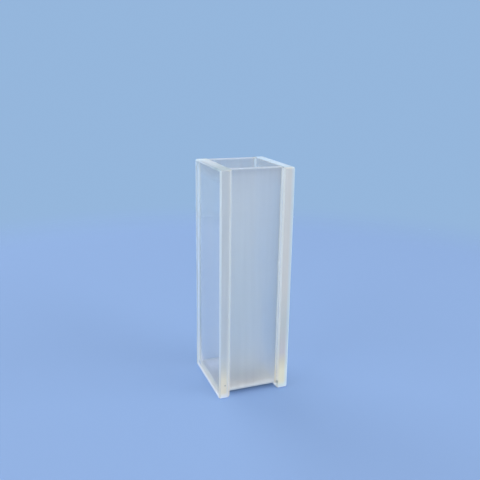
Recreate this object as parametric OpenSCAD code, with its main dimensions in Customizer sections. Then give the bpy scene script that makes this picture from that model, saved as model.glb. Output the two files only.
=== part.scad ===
// Glass cuvette: an open-topped sample cell bonded from five flat plates.
// Two clear polished windows stand left and right, and the light crosses the cell along X.
// Two ground walls close the front and the back, set in from the windows' upright edges.
// A floor plate closes the bottom. The windows reach lower than the rest and are its feet.
// The origin is at the middle of the footprint, on the plane that the feet stand on.

/* [Cell] */
// Clear distance between the two windows, along the light path
light_path = 10; // [5:0.5:30]
// Clear distance between the two ground walls
well_depth = 11.5; // [6:0.5:20]
// Overall height from the feet to the rim
cell_height = 45; // [30:1:60]

/* [Windows] */
// Thickness of each polished window
window_thick = 2.25; // [1.25:0.05:3]
// How far each window stands past the ground walls, front and back
window_overhang = 0.75; // [0.5:0.05:1.5]
// Width of the ground chamfer along a window's edges
window_arris = 0.3; // [0.1:0.05:0.4]

/* [Ground walls] */
// Thickness of each ground wall
wall_thick = 1.25; // [1:0.05:2.5]
// Height of the ground walls' lower ends above the feet
wall_lift = 1; // [0.6:0.1:1.2]
// Width of the fine chamfer along a ground wall's level edges
wall_arris = 0.15; // [0.05:0.05:0.3]

/* [Floor plate] */
// Thickness of the floor plate
floor_thick = 1.25; // [1:0.05:2]
// Gap below the floor plate
floor_lift = 0.35; // [0.25:0.05:0.5]
// Width of the fine chamfer along the floor plate's lower edges
floor_arris = 0.1; // [0.05:0.05:0.3]

/* [Hidden] */

// Overall depth, from the windows' front edges to their back edges
cell_depth = well_depth + 2 * (wall_thick + window_overhang);
// Height of a ground wall
wall_height = cell_height - wall_lift;
// Distance from the middle of the cell to a window's inner face
window_x = light_path / 2;
// Distance from the middle of the cell to a ground wall's inner face
wall_y = well_depth / 2;

// Colours of the two finishes
polished_glass = [0.62, 0.74, 0.88, 0.35];
ground_glass = [0.78, 0.82, 0.88, 0.7];

// A rectangle from (0, 0) to (w, h) with its four corners cut back at 45 degrees.
module four_cut_rectangle(w, h, cut) {
    polygon([
        [cut, 0], [w - cut, 0],
        [w, cut], [w, h - cut],
        [w - cut, h], [cut, h],
        [0, h - cut], [0, cut]
    ]);
}

// A rectangle from (0, 0) to (w, h) with three corners cut back, and the upper left one left sharp.
module three_cut_rectangle(w, h, cut) {
    polygon([
        [cut, 0], [w - cut, 0],
        [w, cut], [w, h - cut],
        [w - cut, h], [0, h],
        [0, cut]
    ]);
}

// One window with its inner face on the plane x = 0 and its body on the +X side.
// It is the overlap of three bars, one for each view, so every edge gets its chamfer.
// The inner edge of the rim stays sharp, because the rim was ground after bonding.
module window() {
    intersection() {
        // Seen from above: four upright chamfers
        translate([0, -cell_depth / 2, 0])
            linear_extrude(cell_height)
                four_cut_rectangle(window_thick, cell_depth, window_arris);
        // Seen from the front: chamfers at the foot and along the outer edge of the rim
        translate([0, cell_depth / 2, 0])
            rotate([90, 0, 0])
                linear_extrude(cell_depth)
                    three_cut_rectangle(window_thick, cell_height, window_arris);
        // Seen from the side: the four corners of the big face
        rotate([90, 0, 90])
            translate([-cell_depth / 2, 0, 0])
                linear_extrude(window_thick)
                    four_cut_rectangle(cell_depth, cell_height, window_arris);
    }
}

// One ground wall with its inner face on the plane y = 0 and its body on the +Y side.
module ground_wall() {
    translate([-light_path / 2, 0, wall_lift])
        rotate([90, 0, 90])
            linear_extrude(light_path)
                four_cut_rectangle(wall_thick, wall_height, wall_arris);
}

module window_left() {
    color(polished_glass)
        translate([-window_x, 0, 0])
            rotate([0, 0, 180])
                window();
}

module window_right() {
    color(polished_glass)
        translate([window_x, 0, 0])
            window();
}

module ground_wall_front() {
    color(ground_glass)
        translate([0, -wall_y, 0])
            rotate([0, 0, 180])
                ground_wall();
}

module ground_wall_back() {
    color(ground_glass)
        translate([0, wall_y, 0])
            ground_wall();
}

// The floor plate fills the well from wall to wall and window to window.
module floor_plate() {
    color(ground_glass)
        translate([-light_path / 2, -well_depth / 2, floor_lift])
            rotate([90, 0, 90])
                linear_extrude(light_path)
                    polygon([
                        [floor_arris, 0], [well_depth - floor_arris, 0],
                        [well_depth, floor_arris], [well_depth, floor_thick],
                        [0, floor_thick], [0, floor_arris]
                    ]);
}

window_left();
window_right();
ground_wall_front();
ground_wall_back();
floor_plate();
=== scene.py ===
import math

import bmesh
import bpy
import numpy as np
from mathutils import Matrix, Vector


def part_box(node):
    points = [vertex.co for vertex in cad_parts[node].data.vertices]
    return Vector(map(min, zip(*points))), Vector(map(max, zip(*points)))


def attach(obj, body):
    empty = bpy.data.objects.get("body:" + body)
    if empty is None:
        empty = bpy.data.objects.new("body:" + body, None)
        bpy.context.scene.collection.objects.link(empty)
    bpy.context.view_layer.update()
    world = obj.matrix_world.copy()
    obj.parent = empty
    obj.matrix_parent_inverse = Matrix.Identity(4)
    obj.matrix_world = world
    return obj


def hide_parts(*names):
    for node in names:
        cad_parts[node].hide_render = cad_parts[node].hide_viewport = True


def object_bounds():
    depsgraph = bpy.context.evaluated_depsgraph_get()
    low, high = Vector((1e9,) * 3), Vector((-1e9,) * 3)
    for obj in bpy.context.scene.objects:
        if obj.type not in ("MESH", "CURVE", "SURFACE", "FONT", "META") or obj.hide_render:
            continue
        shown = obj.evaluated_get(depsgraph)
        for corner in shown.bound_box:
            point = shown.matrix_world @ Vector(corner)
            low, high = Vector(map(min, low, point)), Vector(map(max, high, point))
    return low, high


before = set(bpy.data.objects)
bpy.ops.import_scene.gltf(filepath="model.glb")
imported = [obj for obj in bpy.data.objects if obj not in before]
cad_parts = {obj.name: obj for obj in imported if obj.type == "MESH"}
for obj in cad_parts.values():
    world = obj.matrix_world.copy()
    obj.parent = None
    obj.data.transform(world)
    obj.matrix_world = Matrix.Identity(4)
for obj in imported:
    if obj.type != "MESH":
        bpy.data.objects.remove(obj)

# %% [markdown]
# # A glass cuvette in Blender
# A cuvette is a small open-topped glass box. It holds a liquid while light is sent through it.
# This one is bonded from five flat plates: two clear polished windows, two ground walls that
# look like frost, and a floor. Each plate was sawn, ground and polished on its own before the
# bonding, so the big faces of the windows are clear while every sawn edge is milky.
#
# The construction model already gives each plate its true size and place. The cells below put
# a camera and lamps round it, rebuild each plate with the small uneven details that make glass
# look real, add the thin lines of cement in the corners, and give every surface its finish.

MM = 0.001
construction_box = [list(corner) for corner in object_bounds()]
plate_box = {name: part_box(name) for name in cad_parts}
for name, (low, high) in sorted(plate_box.items()):
    print(name, "measures in mm", [round((b - a) / MM, 3) for a, b in zip(low, high)])

# %% [markdown]
# ## The camera
# A camera can be described as a photographer would do it: how long the lens is, where the
# tripod stands, and how far the camera is turned, tipped down and leaned. The three angles are
# three turns, applied one after the other: about the upright axis, about the camera's own
# sideways axis and about its own line of sight. Writing the turns down beats aiming at a
# point, because a lean can't be said by aiming. A small object is taken from close by, so the
# near clipping distance has to come down too, or Blender cuts the object away.

# %% Camera
PICTURE_SIDE = 480
FOCAL_LENGTH_IN_PIXELS = 564.26
SENSOR_WIDTH = 36.0
CAMERA_PLACE = Vector((-38.67, -100.09, 60.31)) * MM
CAMERA_TURN = math.radians(20.9)
CAMERA_TIP_DOWN = math.radians(15.93)
CAMERA_LEAN = math.radians(0.817)
NEAREST_SEEN = 1 * MM
FARTHEST_SEEN = 10.0

camera_data = bpy.data.cameras.new("camera")
camera_data.sensor_width = SENSOR_WIDTH
camera_data.lens = SENSOR_WIDTH * FOCAL_LENGTH_IN_PIXELS / PICTURE_SIDE
camera_data.clip_start = NEAREST_SEEN
camera_data.clip_end = FARTHEST_SEEN
camera = bpy.data.objects.new("camera", camera_data)
bpy.context.scene.collection.objects.link(camera)
camera.matrix_world = (
    Matrix.Translation(CAMERA_PLACE)
    @ Matrix.Rotation(-CAMERA_TURN, 4, "Z")
    @ Matrix.Rotation(math.pi / 2 - CAMERA_TIP_DOWN, 4, "X")
    @ Matrix.Rotation(CAMERA_LEAN, 4, "Z")
)
bpy.context.scene.camera = camera
bpy.context.scene.view_settings.view_transform = "Standard"
print("the lens is", round(camera_data.lens, 2), "mm long")

# %% [markdown]
# ## Two helpers for node trees
# A material, and the world too, is a tree of nodes. Adding nodes by hand takes several lines
# each, so two small functions do it: one clears a tree, and the other adds a node, sets its
# values and joins its inputs in one call.


# %% Node helpers
def empty_tree(owner):
    """Switches on the node tree of a material or world, empties it and returns it."""
    owner.use_nodes = True
    owner.node_tree.nodes.clear()
    return owner.node_tree


def add_node(tree, kind, inputs=None, **settings):
    """Adds a node. inputs maps an input's name or number to a value, or to another node's
    output, which is joined to it. The other settings are the node's own."""
    node = tree.nodes.new(kind)
    for name, value in settings.items():
        setattr(node, name, value)
    for name, value in (inputs or {}).items():
        if isinstance(value, bpy.types.NodeSocket):
            tree.links.new(value, node.inputs[name])
        else:
            node.inputs[name].default_value = value
    return node


# %% [markdown]
# ## The studio
# Clear glass has no colour of its own. It shows what is behind it and what it mirrors, so the
# surroundings are half of its look. A picture of a real room could be put round the object,
# but its windows would then show in the glass. Here the surroundings are a plain pale blue,
# and warm white lamps are the only bright things in them. That lets the milky edges stand out
# as lighter than what is behind.
#
# The world does two jobs. Rays from the camera, and rays that glass mirrors or lets through,
# see the pale backdrop. Every other ray takes soft room light from it. The Light Path node
# tells the rays apart.

# %% Backdrop and room light
BACKDROP_COLOUR = (0.30, 0.47, 0.72, 1)
ROOM_LIGHT_COLOUR = (1.0, 1.0, 1.0, 1)
ROOM_LIGHT_STRENGTH = 0.45

world = bpy.data.worlds.new("studio")
bpy.context.scene.world = world
tree = empty_tree(world)
ray = add_node(tree, "ShaderNodeLightPath").outputs
straight = add_node(
    tree, "ShaderNodeMath", {0: ray["Is Camera Ray"], 1: ray["Is Glossy Ray"]}, operation="MAXIMUM"
)
seen = add_node(
    tree, "ShaderNodeMath", {0: straight.outputs[0], 1: ray["Is Transmission Ray"]}, operation="MAXIMUM"
)
room_light = add_node(
    tree, "ShaderNodeBackground", {"Color": ROOM_LIGHT_COLOUR, "Strength": ROOM_LIGHT_STRENGTH}
)
backdrop = add_node(tree, "ShaderNodeBackground", {"Color": BACKDROP_COLOUR, "Strength": 1.0})
both = add_node(
    tree, "ShaderNodeMixShader", {0: seen.outputs[0], 1: room_light.outputs[0], 2: backdrop.outputs[0]}
)
add_node(tree, "ShaderNodeOutputWorld", {"Surface": both.outputs[0]})
print("the backdrop's red, green and blue are", BACKDROP_COLOUR[:3])

# %% [markdown]
# ## The table
# The object stands on a round table. A huge plane would do as well, but it would end in a hard
# horizon behind the glass. The table lies a hair below the feet, because two surfaces in
# exactly one place make black speckles.

# %% Table
TABLE_RADIUS = 175 * MM
TABLE_DROP = 0.02 * MM
TABLE_CORNERS = 128

angle = np.linspace(0, 2 * math.pi, TABLE_CORNERS, endpoint=False)
disc = np.stack([np.cos(angle), np.sin(angle), 0 * angle], 1) * TABLE_RADIUS
disc[:, 2] = -TABLE_DROP
table_mesh = bpy.data.meshes.new("studio_floor")
table_mesh.from_pydata(disc.tolist(), [], [list(range(TABLE_CORNERS))])
table = bpy.data.objects.new("studio_floor", table_mesh)
bpy.context.scene.collection.objects.link(table)
print("the table is", round(2 * TABLE_RADIUS / MM), "mm across")

# %% [markdown]
# ## The table's card
# The table is covered with matt card, because a shiny one would mirror the lamps. The outer
# part of the card fades into the backdrop, so that it has no hard rim from any side.

# %% Card
TABLE_COLOUR = (0.23, 0.36, 0.64, 1)
TABLE_FADE = 60 * MM

card = bpy.data.materials.new("studio_card")
tree = empty_tree(card)
place = add_node(tree, "ShaderNodeTexCoord").outputs["Object"]
distance = add_node(tree, "ShaderNodeVectorMath", {0: place}, operation="LENGTH")
fade = add_node(
    tree,
    "ShaderNodeMapRange",
    {"Value": distance.outputs["Value"], "From Min": TABLE_RADIUS - TABLE_FADE, "From Max": TABLE_RADIUS},
    interpolation_type="SMOOTHSTEP",
)
matt = add_node(tree, "ShaderNodeBsdfDiffuse", {"Color": TABLE_COLOUR})
open_air = add_node(tree, "ShaderNodeBsdfTransparent")
faded = add_node(
    tree, "ShaderNodeMixShader", {0: fade.outputs["Result"], 1: matt.outputs[0], 2: open_air.outputs[0]}
)
add_node(tree, "ShaderNodeOutputMaterial", {"Surface": faded.outputs[0]})
table_mesh.materials.append(card)
print("the card fades over its outer", round(TABLE_FADE / MM), "mm")

# %% [markdown]
# ## The lamps
# Four softboxes stand round the object. Point lamps would give hard shadows and pinprick
# highlights, while large lamps give soft ones. Glass edges need light from every side, because
# an edge glows with the light that reached the glass somewhere else. The lamps themselves stay
# out of the picture.

# %% Lamps
LAMP_COLOUR = (1.0, 0.96, 0.90)
# For each lamp: its place and the length of its side in metres, and its power in watts.
LAMPS = {
    "top_lamp": ((0.05, -0.05, 0.55), 0.50, 0.8),
    "right_lamp": ((0.42, -0.34, 0.28), 0.45, 2.2),
    "left_lamp": ((-0.50, -0.12, 0.26), 0.45, 1.4),
    "back_lamp": ((-0.15, 0.50, 0.30), 0.45, 2.0),
}
object_middle = (Vector(construction_box[0]) + Vector(construction_box[1])) / 2


def softbox(name, place, side, power):
    """A square area lamp that faces the middle of the object."""
    data = bpy.data.lights.new(name, "AREA")
    data.shape = "SQUARE"
    data.size = side
    data.energy = power
    data.color = LAMP_COLOUR
    lamp = bpy.data.objects.new(name, data)
    bpy.context.scene.collection.objects.link(lamp)
    lamp.location = place
    lamp.rotation_euler = (object_middle - Vector(place)).to_track_quat("-Z", "Y").to_euler()
    lamp.visible_camera = False
    lamp.visible_transmission = False


for name, (place, side, power) in LAMPS.items():
    softbox(name, place, side, power)
    print(name, "gives", power, "watts")

# %% [markdown]
# ## The outline of a plate
# A sawn plate is a flat slab whose edges were taken off by hand on a grinding wheel. A bevelled
# cube would give perfectly even chamfers, and perfectly even chamfers look like plastic. So
# the plate is worked out as a surface instead. It starts with its outline, a rectangle whose
# corners are rounded off a little.

# %% Outline
CORNER_STEPS = 5


def rectangle_ring(low, high, radius, along):
    """The points of a rectangle with rounded corners, in order. Each corner is a quarter
    circle, and each side is cut into even steps: along[0] points on the two sides that run
    with the first axis, and along[1] points on the two that run with the second."""
    quarter = np.linspace(0, math.pi / 2, CORNER_STEPS)
    ways = [(1, -1), (1, 1), (-1, 1), (-1, -1)]
    arcs = []
    for number, (way_a, way_b) in enumerate(ways):
        turn = quarter + (number - 1) * math.pi / 2
        corner = np.array([high[0] if way_a > 0 else low[0], high[1] if way_b > 0 else low[1]])
        centre = corner - radius * np.array([way_a, way_b])
        arcs.append(centre + radius * np.stack([np.cos(turn), np.sin(turn)], 1))
    parts = []
    for number, arc in enumerate(arcs):
        share = np.linspace(0, 1, along[1 - number % 2] + 2)[1:-1, None]
        parts += [arc, arc[-1] + share * (arcs[(number + 1) % 4][0] - arc[-1])]
    return np.concatenate(parts)


sample = rectangle_ring((0, 0), (2, 3), 0.5, (1, 2))
print("an outline with 1 point on two sides and 2 on the others has", len(sample), "points")

# %% [markdown]
# ## Widths along the outline
# Each side of a plate has a chamfer of its own width, because each was ground in a stroke of
# its own. The width has to be known at every point of the outline, and it may not jump at a
# corner. So one function spreads four widths over the outline, and a second one makes the slow
# ups and downs of a hand that presses now more and now less. Plain random numbers would make
# the edge ragged, and a mean of several sines with random starts is smooth.

# %% Width and wander
WANDER_SINES = 9
WAVE_SPREAD = 8


def side_values(values, along):
    """Spreads one value for each side over the points of rectangle_ring. The sides come in the
    ring's order, and the value changes evenly through each corner."""
    blend = np.linspace(0, 1, CORNER_STEPS)
    parts = []
    for number in range(4):
        before, after = values[number - 1], values[number]
        parts += [before + blend * (after - before), np.full(along[1 - number % 2], after)]
    return np.concatenate(parts)


def wander(count, most_waves, seed):
    """Smooth random ups and downs round a closed line: the mean of several sines, each with a
    whole number of waves and a random start. The numbers of waves lie between the WAVE_SPREADth
    part of most_waves and most_waves."""
    chance = np.random.default_rng(seed)
    place = np.linspace(0, 2 * math.pi, count, endpoint=False)
    waves = chance.integers(most_waves // WAVE_SPREAD, most_waves, WANDER_SINES)
    starts = chance.uniform(0, 2 * math.pi, WANDER_SINES)
    return np.sin(place[:, None] * waves + starts).mean(1)


print("four widths along the sample:", side_values((1, 2, 3, 4), (1, 2)).round(1))
print("a wander with six points:", wander(6, WAVE_SPREAD, 1).round(2))

# %% [markdown]
# ## From rows of points to a piece
# A surface that closes on itself is a stack of closed rows of points. Neighbouring rows are
# joined by four-sided faces, and the first and the last row are filled. Modelling by hand would
# give the same faces, but here they follow from the numbers of the points, for any number of
# rows. Every piece goes through this one function, which also ties it to the body at rest.


# %% Piece
def mesh_piece(name, tubes):
    """Makes one object from closed tubes. Each tube is an array of shape (rows, points, 3): a
    row is a closed loop, neighbouring rows are joined by four-sided faces, and the two end
    loops are filled."""
    points, faces, first = [], [], 0
    for rows in tubes:
        count, around = rows.shape[:2]
        here = first + np.arange(count * around).reshape(count, around)
        beside = np.roll(here, -1, axis=1)
        sides = np.stack([here[:-1], beside[:-1], beside[1:], here[1:]], -1).reshape(-1, 4)
        faces += sides.tolist() + [here[0][::-1].tolist(), here[-1].tolist()]
        points.append(rows.reshape(-1, 3))
        first += count * around
    mesh = bpy.data.meshes.new(name)
    mesh.from_pydata(np.concatenate(points).tolist(), [], faces)
    work = bmesh.new()
    work.from_mesh(mesh)
    bmesh.ops.recalc_face_normals(work, faces=work.faces)
    work.to_mesh(mesh)
    work.free()
    piece = bpy.data.objects.new(name, mesh)
    bpy.context.scene.collection.objects.link(piece)
    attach(piece, "root")
    print(name, "has", len(mesh.vertices), "points and", len(mesh.polygons), "faces")
    return piece


# %% [markdown]
# ## A plate
# A plate is its outline carried across the thickness in four rows. The two middle rows are the
# outline itself, and the first and the last are drawn in by the width of the chamfer. A chamfer
# is as deep as it is wide, which makes its angle 45 degrees.

# %% Plate
X, Y, Z = range(3)
EDGE_STEP = 0.5 * MM
FEWEST_POINTS = 2
PLATE_WAVES = 32
INNER_CORNER = 1 / 4


def plate(name, box, thin_axis, low_cuts, high_cuts, corner, unevenness, seed):
    """A flat plate with a hand-ground chamfer all round. Its big faces are square to thin_axis.
    low_cuts and high_cuts are the widths of the chamfer on the lower and on the higher big
    face, one for each side of the outline in the ring's order."""
    wide = [axis for axis in (X, Y, Z) if axis != thin_axis]
    low, high = np.array(box[0]), np.array(box[1])
    along = np.maximum(((high - low)[wide] / EDGE_STEP).astype(int), FEWEST_POINTS)
    outline = rectangle_ring(low[wide], high[wide], corner, along)
    uneven = 1 + unevenness * wander(len(outline), PLATE_WAVES, seed)

    def drawn_in(cuts):
        """The outline moved inwards by the width of each side's chamfer."""
        right, back, left, front = cuts
        inner = rectangle_ring(
            low[wide] + [left, front], high[wide] - [right, back], corner * INNER_CORNER, along
        )
        return outline + (inner - outline) * uneven[:, None]

    low_depth = side_values(low_cuts, along) * uneven
    high_depth = side_values(high_cuts, along) * uneven
    rows = np.empty((4, len(outline), 3))
    rows[:, :, wide] = [drawn_in(low_cuts), outline, outline, drawn_in(high_cuts)]
    rows[0, :, thin_axis] = low[thin_axis]
    rows[1, :, thin_axis] = low[thin_axis] + low_depth
    rows[2, :, thin_axis] = high[thin_axis] - high_depth
    rows[3, :, thin_axis] = high[thin_axis]
    return mesh_piece(name, [rows])


# %% [markdown]
# ## The windows
# The two windows are the parts that matter to whoever uses the cell: the light goes in through
# one and out through the other. The construction's plain windows could be dressed as they are,
# but their chamfers are all alike. On real ones each chamfer has its own width, and the wide
# ones show as bright lines. Only the inner edge of the rim has next to none, because the rim
# was ground flat after bonding.

# %% Windows
WIDE_ARRIS = 0.45 * MM
MIDDLE_ARRIS = 0.3 * MM
NARROW_ARRIS = 0.2 * MM
SHARP_ARRIS = 0.02 * MM
WINDOW_CORNER = 0.35 * MM
WINDOW_UNEVENNESS = 0.15
WINDOW_SEED = 11

# For each window: the chamfers round its left face, then those round its right face. Each
# four are those along its back, its rim, its front and its foot.
WINDOW_CUTS = {
    "left": (
        (NARROW_ARRIS, MIDDLE_ARRIS, MIDDLE_ARRIS, NARROW_ARRIS),
        (MIDDLE_ARRIS, SHARP_ARRIS, WIDE_ARRIS, MIDDLE_ARRIS),
    ),
    "right": (
        (MIDDLE_ARRIS, SHARP_ARRIS, MIDDLE_ARRIS, MIDDLE_ARRIS),
        (MIDDLE_ARRIS, NARROW_ARRIS, NARROW_ARRIS, NARROW_ARRIS),
    ),
}
windows = {}
for number, (side, (left_cuts, right_cuts)) in enumerate(WINDOW_CUTS.items()):
    node = "window_" + side
    windows[side] = plate(
        side + "_window",
        plate_box[node],
        X,
        left_cuts,
        right_cuts,
        WINDOW_CORNER,
        WINDOW_UNEVENNESS,
        WINDOW_SEED + number,
    )
    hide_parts(node)

# %% [markdown]
# ## The ground walls
# The walls close the front and the back. They carry no light path, so they were left as the
# grinding wheel left them, milky all over. They are drawn as the windows are, with finer
# chamfers. A plate that is bonded to a neighbour stops a hundredth of a millimetre short of
# it. Plates that touched would have two glass surfaces in one place, and the render would
# take one or the other at random.

# %% Ground walls
SEAM_GAP = 0.01 * MM
WALL_ARRIS = 0.12 * MM
WALL_CORNER = 0.03 * MM
WALL_UNEVENNESS = 0.3
WALL_SEED = 21


def let_in(box, gap):
    """The box of a plate, made smaller by gap on each side."""
    low, high = box
    return low + Vector(gap), high - Vector(gap)


wall_cuts = (SHARP_ARRIS, WALL_ARRIS, SHARP_ARRIS, WALL_ARRIS)
walls = {}
for number, side in enumerate(("front", "back")):
    node = "ground_wall_" + side
    walls[side] = plate(
        side + "_wall",
        let_in(plate_box[node], (SEAM_GAP, 0, 0)),
        Y,
        wall_cuts,
        wall_cuts,
        WALL_CORNER,
        WALL_UNEVENNESS,
        WALL_SEED + number,
    )
    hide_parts(node)

# %% [markdown]
# ## The floor plate
# The floor is a third ground plate, let in between the four others. Its upper edges are sharp,
# because they were bonded into the corners, and its lower ones have a fine chamfer.

# %% Floor plate
FLOOR_ARRIS = 0.1 * MM
FLOOR_UNEVENNESS = 0.2
FLOOR_SEED = 31

well_floor = plate(
    "well_floor",
    let_in(plate_box["floor_plate"], (SEAM_GAP, SEAM_GAP, 0)),
    Z,
    (FLOOR_ARRIS,) * 4,
    (SHARP_ARRIS,) * 4,
    WALL_CORNER,
    FLOOR_UNEVENNESS,
    FLOOR_SEED,
)
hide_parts("floor_plate")

# %% [markdown]
# ## A cement line
# Where two plates meet, a little of the glassy cement that holds them stands out of the seam
# and sets as a thin concave line, called a fillet. Glass cement catches the light, so a corner
# shows as a fine bright line. A bevel along the seam would be straight and even. Here a fillet
# is a small three-cornered section carried along the seam. Its two legs lie on the plates and
# its third side is hollow. The size of the section wanders along the seam, and swells to a
# bead where the cement ran together.

# %% Fillet
FILLET_STEP = 0.2 * MM
STEPS_PER_WAVE = 4
HOLLOW_STEPS = 5
HOLLOW_DEPTH = 0.35
FILLET_UNEVENNESS = 0.5


def fillet(start, end, first_leg, second_leg, seed, beads=(), depth=HOLLOW_DEPTH):
    """A fillet from start to end. The section has its corner on the seam, and its two legs are
    vectors that lie along the plates. The hollow side is a curve between the ends of the legs,
    pulled towards the corner by a sine bump as high as depth. The first leg wanders in length,
    and the second one keeps it. beads lists (place along the seam, length, swelling), and each
    of them swells the first leg by a bell curve."""
    start, end = np.array(start), np.array(end)
    first_leg, second_leg = np.array(first_leg), np.array(second_leg)
    seam = np.linalg.norm(end - start)
    count = int(seam / FILLET_STEP)
    place = np.linspace(0, 1, count)[:, None]
    size = 1 + FILLET_UNEVENNESS * wander(count, count // STEPS_PER_WAVE, seed)[:, None]
    for middle, length, swelling in beads:
        size = size + swelling * np.exp(-(((place * seam - middle) / length) ** 2))
    corner = start + place * (end - start) + SEAM_GAP * (np.sign(first_leg) + np.sign(second_leg))
    share = np.linspace(0, 1, HOLLOW_STEPS)[:, None, None]
    hollow = 1 - depth * np.sin(math.pi * share)
    side = corner + hollow * ((1 - share) * size * first_leg + share * second_leg)
    return np.concatenate([corner[None], side]).transpose(1, 0, 2)


# %% [markdown]
# ## Where the seams run
# The seams are where the plates' boxes meet, so their places are read from the construction.
# Typed in again as numbers, they would be wrong as soon as a plate changed.

# %% Places of the seams
well_x = plate_box["window_right"][0].x
well_y = plate_box["ground_wall_back"][0].y
outer_y = plate_box["ground_wall_back"][1].y
well_bottom = plate_box["floor_plate"][1].z
floor_underside = plate_box["floor_plate"][0].z
wall_bottom = plate_box["ground_wall_back"][0].z
rim = construction_box[1][2]
print("the well is", round(2 * well_x / MM, 2), "by", round(2 * well_y / MM, 2), "mm inside")

# %% [markdown]
# ## The upright cement lines
# Each corner of the cell has a line inside and one outside. The outer ones stand wider, because
# most of the cement was pressed outwards. It ran together to a bead in two places: outside at
# the front right, a little above the middle, and inside at the back left, close to the floor.
# Two corners differ: the inner line at the back right is wide too, and the outer one at the
# front left is thin, and as clear as the inner ones. All the lines could share one size, but no
# two seams are pressed alike, so the legs are listed corner by corner.

# %% Legs and beads of the upright lines
THIN_LEG = 0.09 * MM
MIDDLE_LEG = 0.2 * MM
WIDE_LEG = 0.45 * MM
OUTER_WALL_LEG = 0.25 * MM
OUTER_WINDOW_LEG = 0.4 * MM
THIN_OUTER_WALL_LEG = 0.12 * MM
THIN_OUTER_WINDOW_LEG = 0.23 * MM
CORNER_BEAD = (0.5 * MM, 0.5 * MM, 6.0)
SEAM_BEAD = (25.5 * MM, 0.5 * MM, 1.0)
FRONT_LEFT = (-1, -1)

# For each corner, given as its way along X and Y: the legs on the wall and on the window, and
# the beads.
INNER_LINES = {
    FRONT_LEFT: (THIN_LEG, THIN_LEG, []),
    (1, -1): (THIN_LEG, THIN_LEG, []),
    (-1, 1): (THIN_LEG, THIN_LEG, [CORNER_BEAD]),
    (1, 1): (WIDE_LEG, MIDDLE_LEG, []),
}
OUTER_LINES = {
    FRONT_LEFT: (THIN_OUTER_WALL_LEG, THIN_OUTER_WINDOW_LEG, []),
    (1, -1): (OUTER_WALL_LEG, OUTER_WINDOW_LEG, [SEAM_BEAD]),
    (-1, 1): (OUTER_WALL_LEG, OUTER_WINDOW_LEG, []),
    (1, 1): (OUTER_WALL_LEG, OUTER_WINDOW_LEG, []),
}

# %% Upright lines
FILLET_END = 0.15 * MM
INNER_SEED = 43
OUTER_SEED = 51


def upright_line(corner, seam_y, bottom, outwards, line, seed):
    """The fillet up one corner of the cell. seam_y is how far the seam is from the middle, and
    outwards is 1 for a line outside the cell and -1 for one inside."""
    way_x, way_y = corner
    wall_leg, window_leg, beads = line
    start = (way_x * well_x, way_y * seam_y, bottom)
    end = (way_x * well_x, way_y * seam_y, rim - FILLET_END)
    return fillet(start, end, (-way_x * wall_leg, 0, 0), (0, outwards * way_y * window_leg, 0), seed, beads)


clear_lines, white_lines = [], []
for number, corner in enumerate(INNER_LINES):
    clear_lines.append(
        upright_line(corner, well_y, well_bottom + THIN_LEG, -1, INNER_LINES[corner], INNER_SEED + number)
    )
    (clear_lines if corner == FRONT_LEFT else white_lines).append(
        upright_line(corner, outer_y, wall_bottom, 1, OUTER_LINES[corner], OUTER_SEED + number)
    )
print("there are", len(clear_lines), "clear and", len(white_lines), "white upright lines")

# %% [markdown]
# ## The level cement lines
# Four more kinds of line run level, each of them twice. Two kinds lie on top of the floor
# plate, along the windows and along the walls, and are as thin as a hair. Below it the cement
# could run freely, so the lines under the floor and under the walls are thick. The one under
# the back wall even bulges, which a hollow depth below zero says.

# %% Level lines
LEVEL_LEG = 0.07 * MM
UNDER_LEG = 0.3 * MM
UNDER_DROP = 0.25 * MM
FRONT, BACK = -1, 1
FOOT_LEGS = {FRONT: 0.6 * MM, BACK: 1.1 * MM}
FOOT_HOLLOWS = {FRONT: HOLLOW_DEPTH, BACK: -0.12}
BESIDE_WINDOW_SEED = 61
BESIDE_WALL_SEED = 71
UNDER_FLOOR_SEED = 81
UNDER_WALL_SEED = 91

for number, way in enumerate((FRONT, BACK)):
    clear_lines += [
        fillet(
            (way * well_x, -well_y, well_bottom),
            (way * well_x, well_y, well_bottom),
            (-way * LEVEL_LEG, 0, 0),
            (0, 0, LEVEL_LEG),
            BESIDE_WINDOW_SEED + number,
        ),
        fillet(
            (-well_x + LEVEL_LEG, way * well_y, well_bottom),
            (well_x - LEVEL_LEG, way * well_y, well_bottom),
            (0, -way * LEVEL_LEG, 0),
            (0, 0, LEVEL_LEG),
            BESIDE_WALL_SEED + number,
        ),
        fillet(
            (way * well_x, -well_y, floor_underside),
            (way * well_x, well_y, floor_underside),
            (-way * UNDER_LEG, 0, 0),
            (0, 0, -UNDER_DROP),
            UNDER_FLOOR_SEED + number,
        ),
        fillet(
            (-well_x + SEAM_GAP, way * well_y, wall_bottom),
            (well_x - SEAM_GAP, way * well_y, wall_bottom),
            (0, way * FOOT_LEGS[way], 0),
            (0, 0, floor_underside - wall_bottom),
            UNDER_WALL_SEED + number,
            depth=FOOT_HOLLOWS[way],
        ),
    ]

# %% [markdown]
# ## Two pieces of cement
# Three of the upright lines outside are whiter than all the others, partly from the cement and partly as
# painted light, so the lines are gathered into two pieces, one for each tone. Each line could be an object
# of its own, but sixteen slivers would only be hard to keep track of.

# %% Cement pieces
clear_cement = mesh_piece("clear_cement", clear_lines)
white_cement = mesh_piece("white_cement", white_lines)

# %% [markdown]
# ## Noise that runs upright
# The plates were ground and wiped in long strokes along their height, so whatever is uneven on
# them is drawn out upright. A Wave texture makes stripes too, but they are regular. A noise is
# drawn out by reading it from a place whose height is scaled down. Noise keeps to the middle of
# its range, so that middle is what gets spread.

# %% Upright noise and its spread
NOISE_LOW, NOISE_HIGH = 0.3, 0.7
NOISE_DETAIL = 3.0


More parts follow.
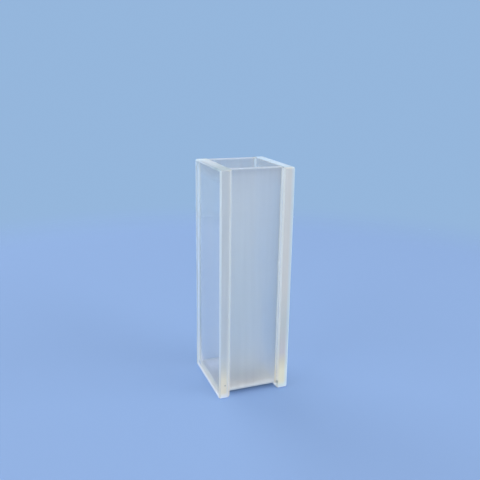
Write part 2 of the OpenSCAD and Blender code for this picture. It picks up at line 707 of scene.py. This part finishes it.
def upright_noise(tree, place, scale, lowest, highest):
    """A noise drawn out along the height, spread from lowest to highest."""
    stretched = add_node(tree, "ShaderNodeMapping", {"Vector": place, "Scale": scale})
    noise = add_node(
        tree, "ShaderNodeTexNoise", {"Vector": stretched.outputs[0], "Scale": 1.0, "Detail": NOISE_DETAIL}
    )
    spread = add_node(
        tree,
        "ShaderNodeMapRange",
        {
            "Value": noise.outputs["Fac"],
            "From Min": NOISE_LOW,
            "From Max": NOISE_HIGH,
            "To Min": lowest,
            "To Max": highest,
        },
    )
    return spread.outputs["Result"]


# %% [markdown]
# ## How lamps shine through glass
# A lamp's light would stop at glass, because a path tracer looks for lamps along straight
# lines and glass bends them. The cell would be dark inside. Blender can follow the bent light
# as well, as caustics, but slowly and with much grain. So the rays that look for lamps, the
# shadow rays, meet a Transparent shader instead, which dims them, a little in clear glass and
# more in ground glass. The light gets into the cell as it does in a real one, and everything
# else still sees true glass.


# %% Light through glass
LAMP_LIGHT_THROUGH_GLASS = (0.95, 0.95, 0.95, 1)
LAMP_LIGHT_THROUGH_FROST = (0.6, 0.6, 0.6, 1)


def let_lamps_through(tree, shader, colour):
    """Ends a glass material. Shadow rays pass and take the colour, and all others meet the
    shader."""
    shadow_ray = add_node(tree, "ShaderNodeLightPath").outputs["Is Shadow Ray"]
    open_air = add_node(tree, "ShaderNodeBsdfTransparent", {"Color": colour})
    both = add_node(
        tree, "ShaderNodeMixShader", {0: shadow_ray, 1: shader.outputs[0], 2: open_air.outputs[0]}
    )
    add_node(tree, "ShaderNodeOutputMaterial", {"Surface": both.outputs[0]})


# %% [markdown]
# ## Polished glass
# Clear glass is the Principled shader with full transmission and an index of refraction of 1.5.
# Polished glass that has been handled is never perfectly clear: wiping leaves the faintest
# haze in long upright strokes. A Glass shader would do too, but Principled is what other
# programs understand, and here the noise makes its roughness a little uneven.

# %% Polished glass
GLASS_IOR = 1.5
GLASS_COLOUR = (0.98, 0.99, 1.0, 1)
STROKE_SCALE = (700.0, 700.0, 40.0)
CLEAREST_ROUGHNESS = 0.0
HAZIEST_ROUGHNESS = 0.04

clear = bpy.data.materials.new("polished_glass")
tree = empty_tree(clear)
place = add_node(tree, "ShaderNodeTexCoord").outputs["Object"]
haze = upright_noise(tree, place, STROKE_SCALE, CLEAREST_ROUGHNESS, HAZIEST_ROUGHNESS)
glass = add_node(
    tree,
    "ShaderNodeBsdfPrincipled",
    {"Base Color": GLASS_COLOUR, "Roughness": haze, "IOR": GLASS_IOR, "Transmission Weight": 1.0},
)
let_lamps_through(tree, glass, LAMP_LIGHT_THROUGH_GLASS)
print("made", clear.name)

# %% [markdown]
# ## Patches on ground glass
# A ground surface isn't the same everywhere. An edge is bluer along the side where the light leaves it,
# which is painted light, and two small dark spots are painted in, one of them as shadow beside a corner.
# They could be painted on an image, but an image blurs when it is looked at from close by. So both are told
# by where they are: a border by how far along a direction a place lies, and a spot by how far the place is
# from its middle.


# %% Spots and borders
# The sockets of a Mix node that carry colours share their names with others, so they are told
# by their numbers.
MIX_BELOW, MIX_ABOVE, MIX_RESULT = 6, 7, 2


def spot(middle, edge, core, colour):
    """A patch round a point. It starts at the distance edge and is full from the distance core."""
    return "DISTANCE", middle, edge, core, colour


def border(direction, start, full, colour):
    """A patch along one side. It starts at the place start and is full from the place full,
    both measured in the direction."""
    return "DOT_PRODUCT", direction, start, full, colour


def lay_patch(tree, place, below, patch):
    """Mixes the colour of a patch over the colour below it."""
    measure, where, start, full, colour = patch
    reach = add_node(tree, "ShaderNodeVectorMath", {0: place, 1: where}, operation=measure)
    inside = add_node(
        tree, "ShaderNodeMapRange", {"Value": reach.outputs["Value"], "From Min": start, "From Max": full}
    )
    mixed = add_node(
        tree,
        "ShaderNodeMix",
        {0: inside.outputs["Result"], MIX_BELOW: below, MIX_ABOVE: (*colour, 1)},
        data_type="RGBA",
    )
    return mixed.outputs[MIX_RESULT]


# %% [markdown]
# ## Ground glass
# Grinding covers glass with tiny pits. Part of the light still goes through, bent this way and that by the
# pits, and the rest is scattered back as a milky white. So a ground finish is told by two things, the share
# of the light that passes and the colour of what is scattered. A Glass shader mixed with a Diffuse one
# could show that too, and the Principled shader holds both in one node. Share and colour change up the
# cell: near the feet the glass gathers the lamps' light and glows a warm cream, a glow that is painted into
# the colour. A Color Ramp along one direction holds them, the share as its alpha.

# %% A ramp along a direction
# In millimetres, so that a ramp across the cell and one up to its rim both have room.
RAMP_START, RAMP_END = -8, 45
UPWARDS = (0, 0, 1)
ACROSS = (0, 1, 0)


def ramp_along(tree, place, direction, stops):
    """A Color Ramp along a direction. stops maps a place to (alpha, colour)."""
    reach = add_node(tree, "ShaderNodeVectorMath", {0: place, 1: direction}, operation="DOT_PRODUCT")
    share = add_node(
        tree,
        "ShaderNodeMapRange",
        {"Value": reach.outputs["Value"], "From Min": RAMP_START, "From Max": RAMP_END},
    )
    ramp = add_node(tree, "ShaderNodeValToRGB", {"Fac": share.outputs["Result"]})
    elements = ramp.color_ramp.elements
    while len(elements) > len(stops):
        elements.remove(elements[-1])
    while len(elements) < len(stops):
        elements.new(1.0)
    for element, (level, (alpha, colour)) in zip(elements, sorted(stops.items())):
        element.position = (level - RAMP_START) / (RAMP_END - RAMP_START)
        element.color = (*colour, alpha)
    return ramp.outputs


# %% [markdown]
# ## Grain and streaks
# The pits are far too many to be modelled, so a fine noise drives a bump instead. The strokes
# of the grinding show as faint upright streaks. They could be left out of the colour, but a
# streak that lets less light through is also a little darker.

# %% Grain
GRAIN_SCALE = 9000.0
GRAIN_DEPTH = 0.01 * MM
GRAIN_STRENGTH = 0.35


def pitted(tree, place, strength):
    """A bump that follows a fine noise. strength is how much the pits tilt the surface."""
    pits = add_node(
        tree, "ShaderNodeTexNoise", {"Vector": place, "Scale": GRAIN_SCALE, "Detail": NOISE_DETAIL}
    )
    bump = add_node(
        tree,
        "ShaderNodeBump",
        {"Height": pits.outputs["Fac"], "Strength": strength, "Distance": GRAIN_DEPTH},
    )
    return bump.outputs[0]


# %% Streaks
STREAK_SCALE = (900.0, 900.0, 30.0)
STREAK_SHADE = 1 / 3


def streaked(tree, place, colour, share, streaks):
    """The colour and the share, each times a noise round 1. The share swings by the part
    streaks, and the colour a third as far."""
    shade = upright_noise(
        tree, place, STREAK_SCALE, 1 - streaks * STREAK_SHADE, 1 + streaks * STREAK_SHADE
    )
    colour = add_node(tree, "ShaderNodeVectorMath", {0: colour, "Scale": shade}, operation="SCALE")
    uneven = upright_noise(tree, place, STREAK_SCALE, 1 - streaks, 1 + streaks)
    share = add_node(tree, "ShaderNodeMath", {0: share, 1: uneven}, operation="MULTIPLY", use_clamp=True)
    return colour.outputs[0], share.outputs[0]


# %% [markdown]
# ## A ground finish
# One function puts the ramp, the patches, the streaks and the grain together, because the cell
# needs more than twenty such finishes. Each of them could be a tree of nodes built by hand, but
# then a change to all of them would have to be made twenty times.

# %% Ground finish
COARSE_ROUGHNESS = 0.9
FAINT_STREAKS = 0.08
finish = {}


def grind(
    name,
    stops,
    roughness=COARSE_ROUGHNESS,
    streaks=FAINT_STREAKS,
    along=UPWARDS,
    patches=(),
    grain=GRAIN_STRENGTH,
    lamp_light=LAMP_LIGHT_THROUGH_FROST,
):
    """Makes a finish of glass ground with grit and keeps it under its name. stops maps a place,
    measured in the direction along, to (share of the light that passes, colour of the scattered
    rest). streaks is how much the share changes across the upright streaks. patches lists spots
    and borders of another colour. All places and distances are in millimetres. grain is how
    strongly the pits tilt the surface, and lamp_light is what shadow rays keep of a lamp's
    light."""
    material = bpy.data.materials.new(name)
    tree = empty_tree(material)
    place = add_node(tree, "ShaderNodeTexCoord").outputs["Object"]
    in_mm = add_node(
        tree, "ShaderNodeVectorMath", {0: place, "Scale": 1 / MM}, operation="SCALE"
    ).outputs[0]
    ramp = ramp_along(tree, in_mm, along, stops)
    colour = ramp["Color"]
    for patch in patches:
        colour = lay_patch(tree, in_mm, colour, patch)
    colour, share = streaked(tree, place, colour, ramp["Alpha"], streaks)
    glass = add_node(
        tree,
        "ShaderNodeBsdfPrincipled",
        {
            "Base Color": colour,
            "Roughness": roughness,
            "IOR": GLASS_IOR,
            "Transmission Weight": share,
            "Normal": pitted(tree, place, grain),
        },
    )
    let_lamps_through(tree, glass, lamp_light)
    finish[name] = material
    print("ground", name, "with", len(stops), "stops")


# %% [markdown]
# ## The windows' front edges
# A window is sawn out of a sheet, and its four narrow sides stay ground. They gather the light of the whole
# plate: cream near the feet, and grey higher up, with a breath of blue on the left. That light is painted
# into their colours, and the lighter border on the left edge and the bluer one on the right edge are
# painted light too. One finish for both front edges would be simpler, but each meets the light in its own
# way. There are two dark spots: a small one near the left foot, and a larger one low in the right corner,
# which is painted shadow beside the lower end of the front wall.

# %% Front edges
# Painted dark spots: the one by the step is painted shadow beside the lower end of the front wall, and the
# one near the left foot is a plain dark spot.
DARK_SPOT_COLOUR = (0.44, 0.45, 0.38)
STEP_SHADOW_SPOT = spot((5.1, -7.55, 1.45), 0.5, 0.1, DARK_SPOT_COLOUR)
FOOT_DARK_SPOT = spot((-6.08, -7.75, 2.8), 0.2, 0.1, DARK_SPOT_COLOUR)
RIGHTWARDS = (1, 0, 0)
LEFTWARDS = (-1, 0, 0)

# The cream low down and the border along one side are painted light.
grind(
    "left_edge",
    streaks=0.10,
    patches=[border(RIGHTWARDS, -6.0, -5.3, (0.70, 0.75, 0.77)), FOOT_DARK_SPOT],
    stops={
        0.4: (0.12, (0.83, 0.88, 0.92)),
        1.3: (0.12, (0.83, 0.77, 0.61)),
        4: (0.12, (0.83, 0.79, 0.64)),
        7: (0.35, (0.60, 0.64, 0.63)),
        9: (0.45, (0.56, 0.64, 0.71)),
        23: (0.45, (0.61, 0.66, 0.69)),
        40: (0.45, (0.58, 0.635, 0.68)),
    },
)
grind(
    "right_edge",
    streaks=0.10,
    patches=[border(RIGHTWARDS, 6.4, 7.1, (0.70, 0.84, 0.92))],
    stops={
        0.4: (0.08, (0.78, 0.90, 0.88)),
        1.5: (0.08, (0.90, 0.87, 0.65)),
        4: (0.08, (0.91, 0.87, 0.65)),
        6: (0.18, (0.78, 0.75, 0.60)),
        8: (0.3, (0.66, 0.65, 0.67)),
        14: (0.35, (0.64, 0.68, 0.66)),
        22: (0.35, (0.74, 0.735, 0.70)),
        40: (0.35, (0.73, 0.74, 0.72)),
    },
)

# %% [markdown]
# ## The windows' back edges
# The back edges are bluer than the front ones, and lighter on the side of the well, which is painted light.
# Mirroring one material would mirror its streaks too. So both edges are ground to the same stops, and only
# the border runs the other way.

# %% Back edges
# Painted light: the lighter border on the side of the well.
WELL_SIDE_PAINTED_LIGHT = (0.82, 0.92, 0.97)
BACK_EDGE_STOPS = {
    4: (0.15, (0.80, 0.82, 0.78)),
    9: (0.45, (0.71, 0.85, 0.95)),
    22: (0.45, (0.72, 0.84, 0.92)),
    38: (0.35, (0.90, 0.96, 0.99)),
}

grind(
    "left_back_edge",
    streaks=0.10,
    patches=[border(RIGHTWARDS, -6.6, -6.0, WELL_SIDE_PAINTED_LIGHT)],
    stops=BACK_EDGE_STOPS,
)
grind(
    "right_back_edge",
    streaks=0.10,
    patches=[border(LEFTWARDS, -6.6, -6.0, WELL_SIDE_PAINTED_LIGHT)],
    stops=BACK_EDGE_STOPS,
)

# %% [markdown]
# ## The windows' chamfers
# A chamfer is turned towards other lamps than the edge beside it, so most of them are brighter than their
# edge and show as lines. They could share the finish of their edge and be left to the lamps. Instead each
# has a finish of its own, whose colour paints in the highlight of the lamps that it faces.

# %% Chamfers
grind(
    "left_outer_arris",
    stops={
        3: (0.2, (0.78, 0.77, 0.69)),
        10: (0.4, (0.70, 0.82, 0.94)),
        24: (0.4, (0.81, 0.93, 0.99)),
        38: (0.4, (0.86, 0.96, 0.99)),
    },
)
grind(
    "right_outer_arris",
    stops={
        3: (0.25, (0.80, 0.92, 0.99)),
        10: (0.4, (0.76, 0.95, 0.99)),
        38: (0.5, (0.62, 0.78, 0.90)),
    },
)
grind(
    "left_inner_arris",
    stops={
        3: (0.12, (0.66, 0.62, 0.56)),
        9: (0.3, (0.61, 0.68, 0.70)),
        38: (0.3, (0.64, 0.70, 0.74)),
    },
)
grind(
    "right_inner_arris",
    patches=[STEP_SHADOW_SPOT],
    stops={
        1: (0.12, (0.74, 0.77, 0.70)),
        2.3: (0.12, (0.98, 0.93, 0.76)),
        4: (0.12, (0.95, 0.90, 0.75)),
        9: (0.3, (0.89, 0.94, 0.91)),
        16: (0.3, (0.95, 0.99, 0.96)),
        30: (0.3, (0.92, 0.96, 0.93)),
    },
)
grind("back_arris", stops={3: (0.2, (0.80, 0.83, 0.80)), 9: (0.2, (0.80, 0.89, 0.95))})

# %% [markdown]
# ## The grey band and the feet
# The inner face of a window is polished, and greyer in a thin band just below the rim. A second surface in
# front of the glass would catch the light on its own edges. So the band is part of the face's finish, made
# like ground glass but without the grain.
#
# The feet are the windows' lower ends. They stand on the table and hardly show, so each of
# their two finishes is a single tone.

# %% Grey band and feet
grind(
    "grey_band_face",
    roughness=0.05,
    streaks=0.0,
    grain=0.0,
    lamp_light=LAMP_LIGHT_THROUGH_GLASS,
    stops={
        42: (1.0, (0.98, 0.99, 1.0)),
        43.5: (0.8, (0.77, 0.75, 0.71)),
        44.3: (0.76, (0.71, 0.69, 0.66)),
    },
)
grind("foot_arris", stops={0: (0.12, (0.90, 0.95, 0.99))})
grind("foot_face", stops={0: (0.2, (0.84, 0.90, 0.96))})

# %% [markdown]
# ## The rim
# The rim was ground flat after the bonding. On the windows its tone changes from the front to the back, so
# their ramps run across the cell instead of upwards, and the right rim is darker in a thin line along its
# inner side. These tones on the windows' rim and outer chamfer, and the difference between the left and the
# right rim, are painted light and shade, and the thin dark line is painted shade. The walls' rim is finer,
# and their chamfers share its finish. One tone for the whole rim would make it look like a strip of paper.

# %% Rim
# The tones of these ramps are painted light and shade.
grind(
    "top_arris",
    along=ACROSS,
    stops={
        -7: (0.45, (0.47, 0.59, 0.68)),
        -5: (0.45, (0.30, 0.42, 0.50)),
        -2: (0.45, (0.44, 0.54, 0.65)),
        3: (0.45, (0.51, 0.59, 0.69)),
        7: (0.45, (0.58, 0.70, 0.78)),
    },
)
grind(
    "left_rim",
    along=ACROSS,
    stops={
        -6: (0.38, (0.45, 0.55, 0.61)),
        -2: (0.38, (0.50, 0.60, 0.68)),
        2: (0.38, (0.59, 0.67, 0.77)),
        7: (0.38, (0.62, 0.73, 0.80)),
    },
)
grind(
    "right_rim",
    along=ACROSS,
    # Painted shade: the thin dark line along the right rim's inner side.
    patches=[border(LEFTWARDS, -5.35, -5.15, (0.25, 0.33, 0.42))],
    stops={
        -7: (0.38, (0.56, 0.71, 0.84)),
        -4: (0.38, (0.61, 0.76, 0.92)),
        3: (0.38, (0.57, 0.74, 0.92)),
        7: (0.38, (0.54, 0.69, 0.84)),
    },
)
grind(
    "fine_rim",
    roughness=0.7,
    stops={2: (0.3, (0.70, 0.76, 0.80)), 40: (0.5, (0.63, 0.71, 0.81))},
)

# %% [markdown]
# ## The walls
# The walls let most of the light through, so they look like frost rather than like paint. The
# front one has a bright band along its lower end, where the light from the floor plate comes
# out, and the band is brightest beside the right window. A hidden lamp could make the band, but
# it would light everything else too, so the ramp makes it. The back wall is dark at its very
# foot, where it meets the floor plate.

# %% Faces of the walls
DOWNWARDS = (0, 0, -1)
FROST = {"roughness": 0.5, "streaks": 0.12}
UPPER_STOPS = {40: (0.85, (0.84, 0.87, 0.87)), 44: (0.85, (0.74, 0.77, 0.79))}

grind(
    "front_face",
    **FROST,
    patches=[
        spot((4.6, -7, 2.4), 4.8, 0.5, (0.88, 0.89, 0.88)),
        # Painted shadow: this border darkens the very bottom, where the gap under the wall lies in shade.
        border(DOWNWARDS, -1.4, -1.1, (0.50, 0.59, 0.64)),
    ],
    stops={
        1.1: (0.4, (0.66, 0.70, 0.74)),
        1.6: (0.3, (0.85, 0.85, 0.83)),
        2.1: (0.6, (0.70, 0.69, 0.67)),
        3.2: (0.8, (0.68, 0.71, 0.77)),
        5: (0.8, (0.70, 0.76, 0.83)),
        9: (0.85, (0.75, 0.82, 0.87)),
        20: (0.85, (0.785, 0.845, 0.865)),
        43.6: (0.85, (0.79, 0.82, 0.85)),
        44.5: (0.85, (0.69, 0.72, 0.755)),
    },
)
grind(
    "back_face",
    **FROST,
    stops={
        1.6: (0.85, (0.42, 0.46, 0.50)),
        2.05: (0.85, (0.84, 0.87, 0.87)),
        **UPPER_STOPS,
    },
)
grind(
    "front_inner_face",
    **FROST,
    stops={
        1.4: (0.3, (0.80, 0.84, 0.82)),
        2: (0.85, (0.84, 0.87, 0.87)),
        **UPPER_STOPS,
    },
)

# %% [markdown]
# ## The ends of the walls
# The ends of the walls are seen through the clear windows. Cement wets them there, and wetting
# fills the pits and makes ground glass darker. The back wall's ends are dry along their outer
# side, and the border between wet and dry leans a little. A sheet of cement could be put
# between wall and window, but the gap is so thin that a darker finish looks the same.

# %% Ends of the walls
BACK_AND_RISING = (0, 1, 0.022)

grind(
    "wall_end",
    roughness=0.6,
    patches=[border(BACK_AND_RISING, 7.2, 7.3, (0.71, 0.79, 0.85))],
    stops={
        2: (0.5, (0.56, 0.57, 0.58)),
        10: (0.5, (0.24, 0.32, 0.38)),
        28: (0.55, (0.33, 0.41, 0.47)),
        43: (0.6, (0.36, 0.42, 0.46)),
    },
)

# %% [markdown]
# ## The floor plate's finish
# The floor plate was ground less than the walls. It is clearer and lighter towards the back, on top and
# underneath, and the lighter colour there is painted light from the back lamp. Its front edge on top is
# lighter as well, which is painted light too. It turns blue at its very back edge, and is one dull beige
# along the left window, where the cement wets it. One tone would do if only the top were seen, but the
# plate is looked at through the window as well, along its surface.

# %% Finish of the floor plate
grind(
    "ground_floor",
    roughness=0.35,
    along=ACROSS,
    patches=[border(LEFTWARDS, 4.0, 4.6, (0.62, 0.60, 0.54))],
    stops={
        -5.5: (0.5, (0.70, 0.65, 0.63)),
        -3: (0.7, (0.54, 0.55, 0.53)),
        0: (0.7, (0.55, 0.56, 0.54)),
        # Lighter towards the back: painted light from the back lamp.
        3.5: (0.8, (0.98, 0.98, 0.98)),
        5.2: (0.8, (0.82, 0.88, 0.98)),
        5.7: (0.8, (0.40, 0.50, 0.70)),
    },
)
grind(
    "floor_underside",
    roughness=0.35,
    along=ACROSS,
    stops={-1: (0.2, (0.62, 0.60, 0.48)), 3: (0.8, (0.95, 0.96, 0.98))},
)
grind("floor_end", roughness=0.6, stops={0: (0.2, (0.62, 0.60, 0.48))})

# %% [markdown]
# ## The cement's finish
# Glass cement is a glass that melts easily, full of bubbles too small to see, and bubbles scatter nearly
# all the light. Blender could follow it from bubble to bubble, as subsurface scattering, but lines as thin
# as these look the same when nothing passes and the share is none. The clear cement is bluer than the
# white. It is lighter in the bead at the back left, and bluest and lighter at the top of the back right
# corner, which is a painted highlight. The white cement is cream near the feet, the same painted glow as on
# the edges.

# %% Finish of the cement
grind(
    "clear_cement",
    roughness=0.4,
    streaks=0.3,
    patches=[
        # Painted highlight at the top of the back right corner.
        spot((5, 5.75, 45), 6, 4, (0.66, 0.79, 0.92)),
        spot((-5, 5.75, 2.1), 1.5, 0.8, (0.99, 0.99, 0.99)),
    ],
    stops={2: (0.0, (0.66, 0.68, 0.66)), 4: (0.0, (0.60, 0.71, 0.83))},
)
grind(
    "white_cement",
    roughness=0.4,
    streaks=0.3,
    patches=[STEP_SHADOW_SPOT],
    # The cream near the feet is painted glow.
    stops={3: (0.0, (0.93, 0.87, 0.70)), 9: (0.0, (0.77, 0.84, 0.86))},
)

# %% [markdown]
# ## One finish for each surface
# A plate was drawn as one surface, and its parts differ only in the way that they face. Picking
# its faces by their numbers would go wrong as soon as the outline got more points. So each face
# of the mesh is dressed by its normal, the arrow that stands square on it. The dot product of
# the normal and a direction is 1 when the face looks exactly that way, and 0.71 when it is
# turned away by 45 degrees. That is how a chamfer is told from its neighbours.


# %% Dress a piece
def dress(piece, rules, rest):
    """Gives every face of a piece its finish. rules lists (direction, how nearly a face has to
    look that way, material), and the first rule that a face meets counts. The others get rest.
    How nearly is the dot product of the face's normal and the direction."""
    mesh = piece.data
    for material in [rule[2] for rule in rules] + [rest]:
        if material.name not in mesh.materials:
            mesh.materials.append(material)
    slot = {material.name: number for number, material in enumerate(mesh.materials)}
    normals = np.empty(len(mesh.polygons) * 3)
    mesh.polygons.foreach_get("normal", normals)
    normals = normals.reshape(-1, 3)
    tests = [normals @ np.array(Vector(way).normalized()) > least for way, least, _ in rules]
    chosen = np.select(tests, [slot[material.name] for *_, material in rules], slot[rest.name])
    mesh.polygons.foreach_set("material_index", chosen)
    print(piece.name, "has", len(slot), "finishes")


# %% [markdown]
# ## The windows dressed
# The rules name the big faces first, then the rim and the foot with their chamfers, then the
# chamfer at the back, then whatever else is slanted, and last the back edge. The front edge is
# what is left. A window's outer face looks the way that its side of the cell does, and its
# inner face looks the other way.

# %% Dress the windows
SQUARE = 0.95
LEVEL = 0.9
CHAMFER = 0.85
FOOT_CHAMFER = 0.8
EDGE = 0.5
SLANTED = 0.35

for side, way in (("left", -1), ("right", 1)):
    rules = [
        ((way, 0, 0), SQUARE, clear),
        ((-way, 0, 0), SQUARE, finish["grey_band_face"]),
        ((0, 0, 1), LEVEL, finish[side + "_rim"]),
        ((way, 0, 1), CHAMFER, finish["top_arris"]),
        ((way, 0, -1), CHAMFER, finish["foot_arris"]),
        ((0, -1, -1), FOOT_CHAMFER, finish["foot_arris"]),
        ((0, 0, -1), LEVEL, finish["foot_face"]),
        ((-way, 1, 0), CHAMFER, finish["back_arris"]),
        ((way, 0, 0), SLANTED, finish[side + "_outer_arris"]),
        ((-way, 0, 0), SLANTED, finish[side + "_inner_arris"]),
        ((0, 1, 0), EDGE, finish[side + "_back_edge"]),
    ]
    dress(windows[side], rules, finish[side + "_edge"])

# %% [markdown]
# ## The walls, the floor and the cement dressed
# A wall has a finish for its outer face, one for its inner face and one for its two ends. The
# back wall has the same on both faces. The rest of it is the rim and the fine chamfers. A line
# of cement is alike all round, so its piece takes one finish as a whole, with no rules.

# %% Dress the walls
# For each wall: the way that it faces, and the finishes of its outer and its inner face.
WALL_FACES = {
    "front": (FRONT, "front_face", "front_inner_face"),
    "back": (BACK, "back_face", "back_face"),
}

for side, (way, outside, inside) in WALL_FACES.items():
    rules = [
        ((0, way, 0), SQUARE, finish[outside]),
        ((0, -way, 0), SQUARE, finish[inside]),
        ((1, 0, 0), LEVEL, finish["wall_end"]),
        ((-1, 0, 0), LEVEL, finish["wall_end"]),
    ]
    dress(walls[side], rules, finish["fine_rim"])

# %% Dress the floor and the cement
rules = [
    ((0, 0, 1), LEVEL, finish["ground_floor"]),
    ((0, 0, -1), LEVEL, finish["floor_underside"]),
]
dress(well_floor, rules, finish["floor_end"])
for lines in (clear_cement, white_cement):
    lines.data.materials.append(finish[lines.name])
    print(lines.name, "has 1 finish")

# %% [markdown]
# ## Sizes
# The dressed model has to fill the same box as the construction model. The construction's box is printed
# here.

# %% Print the construction's box
print("construction box", construction_box)
